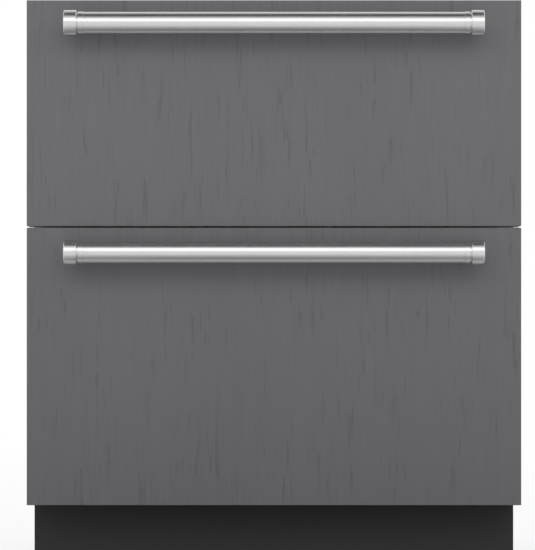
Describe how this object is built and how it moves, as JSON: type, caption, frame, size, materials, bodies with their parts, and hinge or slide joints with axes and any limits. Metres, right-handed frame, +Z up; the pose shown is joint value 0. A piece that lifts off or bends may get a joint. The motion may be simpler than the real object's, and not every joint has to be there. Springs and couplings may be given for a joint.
{
  "type": "undercounter drawer freezer",
  "caption": "Built-in undercounter freezer with two wood-fronted drawers on full-extension slides, tube handles, insulated cabinet and a rear machine compartment.",
  "frame": {"origin": "on the floor, at the middle of the width and depth of the whole object, handles included", "axes": "+Z up, the drawers open towards -Y, +X is to the right of someone who faces the drawers"},
  "size_m": [0.756, 0.6762, 0.874],
  "materials": {
    "cabinet_paint": "satin grey paint",
    "zinc_sheet": "bare zinc-coated sheet",
    "cabinet_foam": "rigid foam",
    "front_frame": "satin pale grey paint",
    "liner_plastic": "moulded white plastic",
    "cover_plastic": "fine-grained white plastic",
    "coil_aluminium": "plain aluminium",
    "heater_sheath": "heat-tinted steel",
    "trough_aluminium": "plain aluminium",
    "black_plastic": "black moulding",
    "fan_plastic": "pale moulding",
    "lamp_diffuser": "milky diffuser",
    "control_plastic": "dark moulding",
    "button_plastic": "pale grey moulding",
    "compressor_paint": "gloss black enamel",
    "grommet_rubber": "soft rubber",
    "condenser_paint": "thin black paint",
    "zinc_frame": "zinc-coated steel",
    "copper": "drawn copper",
    "board_box": "pale moulding",
    "base_steel": "zinc-coated steel",
    "kick_paint": "matt black paint",
    "bracket_steel": "zinc-coated steel",
    "screw_steel": "bright zinc",
    "rail_steel": "bright rolled steel",
    "leg_steel": "turned steel",
    "panel_wood": "satin grey stain over open grain",
    "door_paint": "pale grey satin paint",
    "gasket_rubber": "soft grey",
    "bin_plastic": "frosted white plastic",
    "handle_steel": "brushed stainless",
    "divider_plastic": "clear grey plastic"
  },
  "bodies": {
    "cabinet": {"cabinet_wrapper": "cabinet_paint", "cabinet_rear_pan": "zinc_sheet", "cabinet_foam": "cabinet_foam", "front_frame": "front_frame", "upper_liner": "liner_plastic", "lower_liner": "liner_plastic", "upper_duct_cover": "cover_plastic", "lower_duct_cover": "cover_plastic", "evaporator_coil": "coil_aluminium", "defrost_heater": "heater_sheath", "drip_trough": "trough_aluminium", "evaporator_fan_motor": "black_plastic", "light_bars": "lamp_diffuser", "control_housing": "control_plastic", "compressor": "compressor_paint", "compressor_grommets": "grommet_rubber", "condenser_coil": "condenser_paint", "condenser_fan_frame": "zinc_frame", "drain_pan": "black_plastic", "refrigerant_lines": "copper", "control_board_box": "board_box", "power_inlet": "black_plastic", "base_frame": "base_steel", "kick_plate": "kick_paint", "rear_cover": "zinc_sheet", "anti_tip_brackets": "bracket_steel", "cabinet_screws": "screw_steel", "slide_outer_rails": "rail_steel"},
    "evaporator_fan_body": {"evaporator_fan": "fan_plastic"},
    "condenser_fan_body": {"condenser_fan": "black_plastic"},
    "power_button_body": {"power_button": "button_plastic"},
    "warmer_button_body": {"warmer_button": "button_plastic"},
    "colder_button_body": {"colder_button": "button_plastic"},
    "front_left_leg_body": {"front_left_leg": "leg_steel"},
    "front_right_leg_body": {"front_right_leg": "leg_steel"},
    "rear_left_leg_body": {"rear_left_leg": "leg_steel"},
    "rear_right_leg_body": {"rear_right_leg": "leg_steel"},
    "upper_slide_middle_rails_body": {"upper_slide_middle_rails": "rail_steel"},
    "lower_slide_middle_rails_body": {"lower_slide_middle_rails": "rail_steel"},
    "upper_divider_body": {"upper_divider": "divider_plastic"},
    "upper_drawer": {"upper_panel": "panel_wood", "upper_door_pan": "door_paint", "upper_door_foam": "cabinet_foam", "upper_door_liner": "liner_plastic", "upper_gasket": "gasket_rubber", "upper_drawer_frame": "rail_steel", "upper_bin": "bin_plastic", "upper_handle_bar": "handle_steel", "upper_handle_posts": "handle_steel", "upper_drawer_screws": "screw_steel"},
    "lower_drawer": {"lower_panel": "panel_wood", "lower_door_pan": "door_paint", "lower_door_foam": "cabinet_foam", "lower_door_liner": "liner_plastic", "lower_gasket": "gasket_rubber", "lower_drawer_frame": "rail_steel", "lower_bin": "bin_plastic", "lower_handle_bar": "handle_steel", "lower_handle_posts": "handle_steel", "lower_drawer_screws": "screw_steel"}
  },
  "joints": [
    {"name": "upper_drawer_slide", "type": "slide", "parent": "cabinet", "child": "upper_drawer", "axis": [0, -1, 0], "range_m": [0, 0.38]},
    {"name": "upper_middle_rail_slide", "type": "slide", "parent": "cabinet", "child": "upper_slide_middle_rails_body", "axis": [0, -1, 0], "range_m": [0, 0.19]},
    {"name": "lower_drawer_slide", "type": "slide", "parent": "cabinet", "child": "lower_drawer", "axis": [0, -1, 0], "range_m": [0, 0.38]},
    {"name": "lower_middle_rail_slide", "type": "slide", "parent": "cabinet", "child": "lower_slide_middle_rails_body", "axis": [0, -1, 0], "range_m": [0, 0.19]},
    {"name": "upper_divider_slide", "type": "slide", "parent": "upper_drawer", "child": "upper_divider_body", "axis": [1, 0, 0], "range_m": [-0.28, 0.28]},
    {"name": "evaporator_fan_spin", "type": "hinge", "parent": "cabinet", "child": "evaporator_fan_body", "pos_m": [0, 0.24113, 0.756], "axis": [0, 1, 0], "continuous": true},
    {"name": "condenser_fan_spin", "type": "hinge", "parent": "cabinet", "child": "condenser_fan_body", "pos_m": [0.205, 0.19112, 0.106], "axis": [0, 1, 0], "continuous": true},
    {"name": "power_button_press", "type": "slide", "parent": "cabinet", "child": "power_button_body", "axis": [0, 1, 0], "range_m": [0, 0.0015], "stiffness_N_per_m": 300},
    {"name": "warmer_button_press", "type": "slide", "parent": "cabinet", "child": "warmer_button_body", "axis": [0, 1, 0], "range_m": [0, 0.0015], "stiffness_N_per_m": 300},
    {"name": "colder_button_press", "type": "slide", "parent": "cabinet", "child": "colder_button_body", "axis": [0, 1, 0], "range_m": [0, 0.0015], "stiffness_N_per_m": 300},
    {"name": "front_left_leg_turn", "type": "hinge", "parent": "cabinet", "child": "front_left_leg_body", "pos_m": [-0.351, -0.14888, 0.028], "axis": [0, 0, 1], "continuous": true},
    {"name": "front_right_leg_turn", "type": "hinge", "parent": "cabinet", "child": "front_right_leg_body", "pos_m": [0.351, -0.14888, 0.028], "axis": [0, 0, 1], "continuous": true},
    {"name": "rear_left_leg_turn", "type": "hinge", "parent": "cabinet", "child": "rear_left_leg_body", "pos_m": [-0.351, 0.29613, 0.028], "axis": [0, 0, 1], "continuous": true},
    {"name": "rear_right_leg_turn", "type": "hinge", "parent": "cabinet", "child": "rear_right_leg_body", "pos_m": [0.351, 0.29613, 0.028], "axis": [0, 0, 1], "continuous": true}
  ],
  "couplings": [
    {"joint": "upper_middle_rail_slide", "follows": "upper_drawer_slide", "ratio": 0.5},
    {"joint": "lower_middle_rail_slide", "follows": "lower_drawer_slide", "ratio": 0.5}
  ]
}
